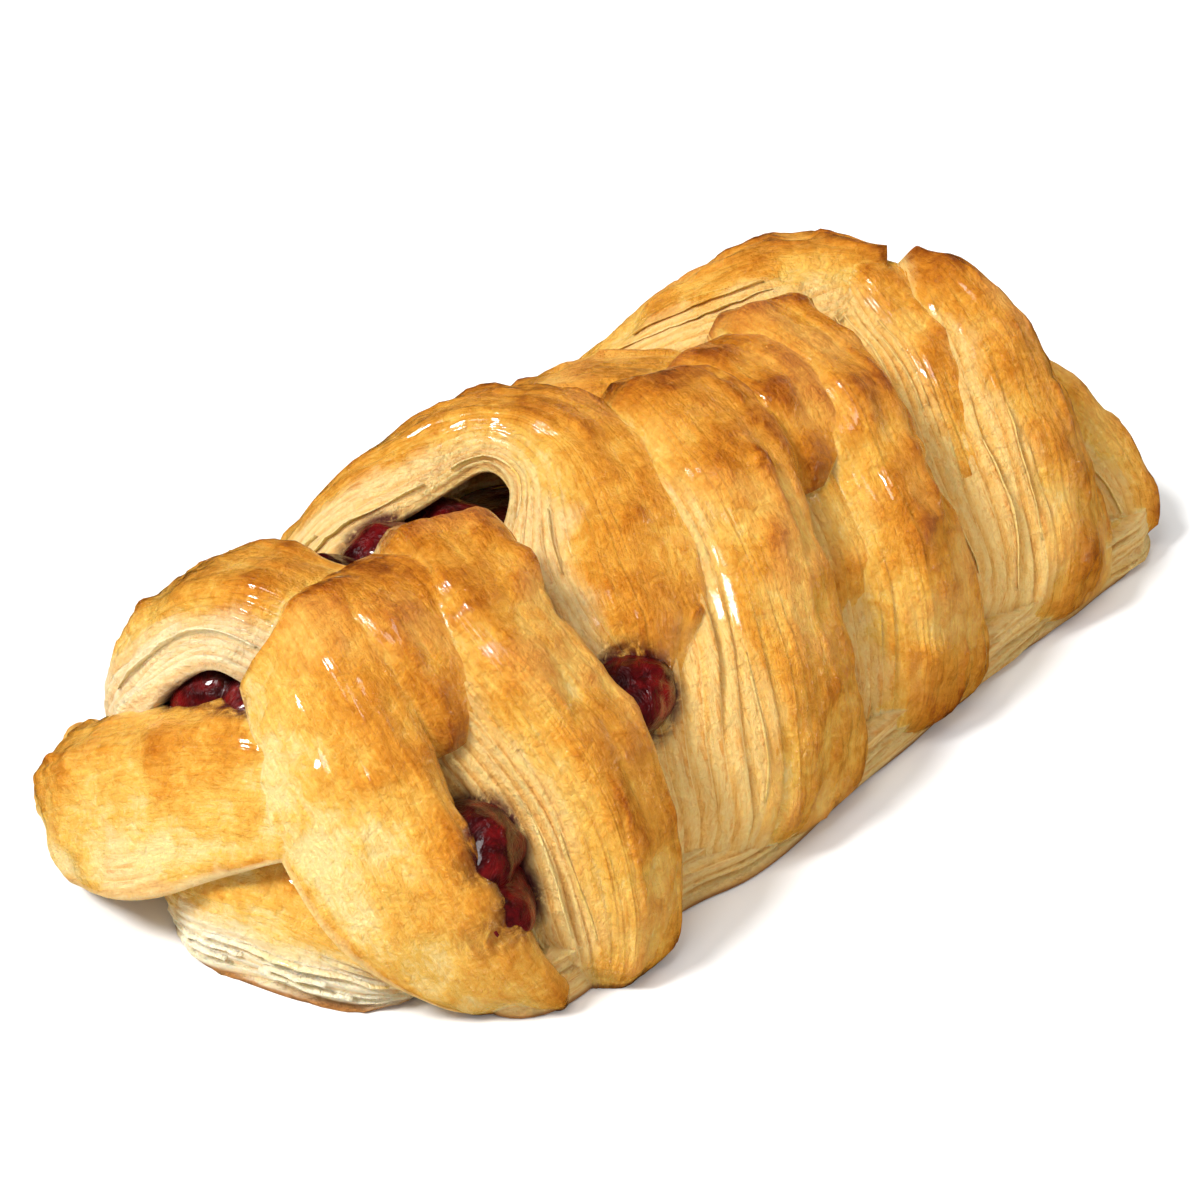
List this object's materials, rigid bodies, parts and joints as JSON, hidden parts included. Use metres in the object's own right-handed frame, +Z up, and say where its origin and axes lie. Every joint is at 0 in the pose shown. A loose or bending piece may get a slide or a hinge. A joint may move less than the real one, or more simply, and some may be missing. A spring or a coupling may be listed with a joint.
{
  "type": "cherry-filled plaited puff pastry",
  "caption": "Plaited puff pastry: strips of flaky dough folded over a cherry filling, with open gaps that show it; rests on its flat base.",
  "frame": {"origin": "middle of the bounding box at the flat underside", "axes": "+X along the plait towards its higher, rolled end; -Y is the side whose strips lie on top; +Z up"},
  "size_m": [0.15, 0.0718, 0.0431],
  "materials": {
    "baked_dough": "egg-washed golden puff pastry, glossy on its ridges and pale and flaky on its cut sides",
    "cherry_gel": "glossy dark red cherries in gel"
  },
  "bodies": {
    "root": {"pastry": "baked_dough", "cherry_filling": "cherry_gel"}
  },
  "joints": []
}
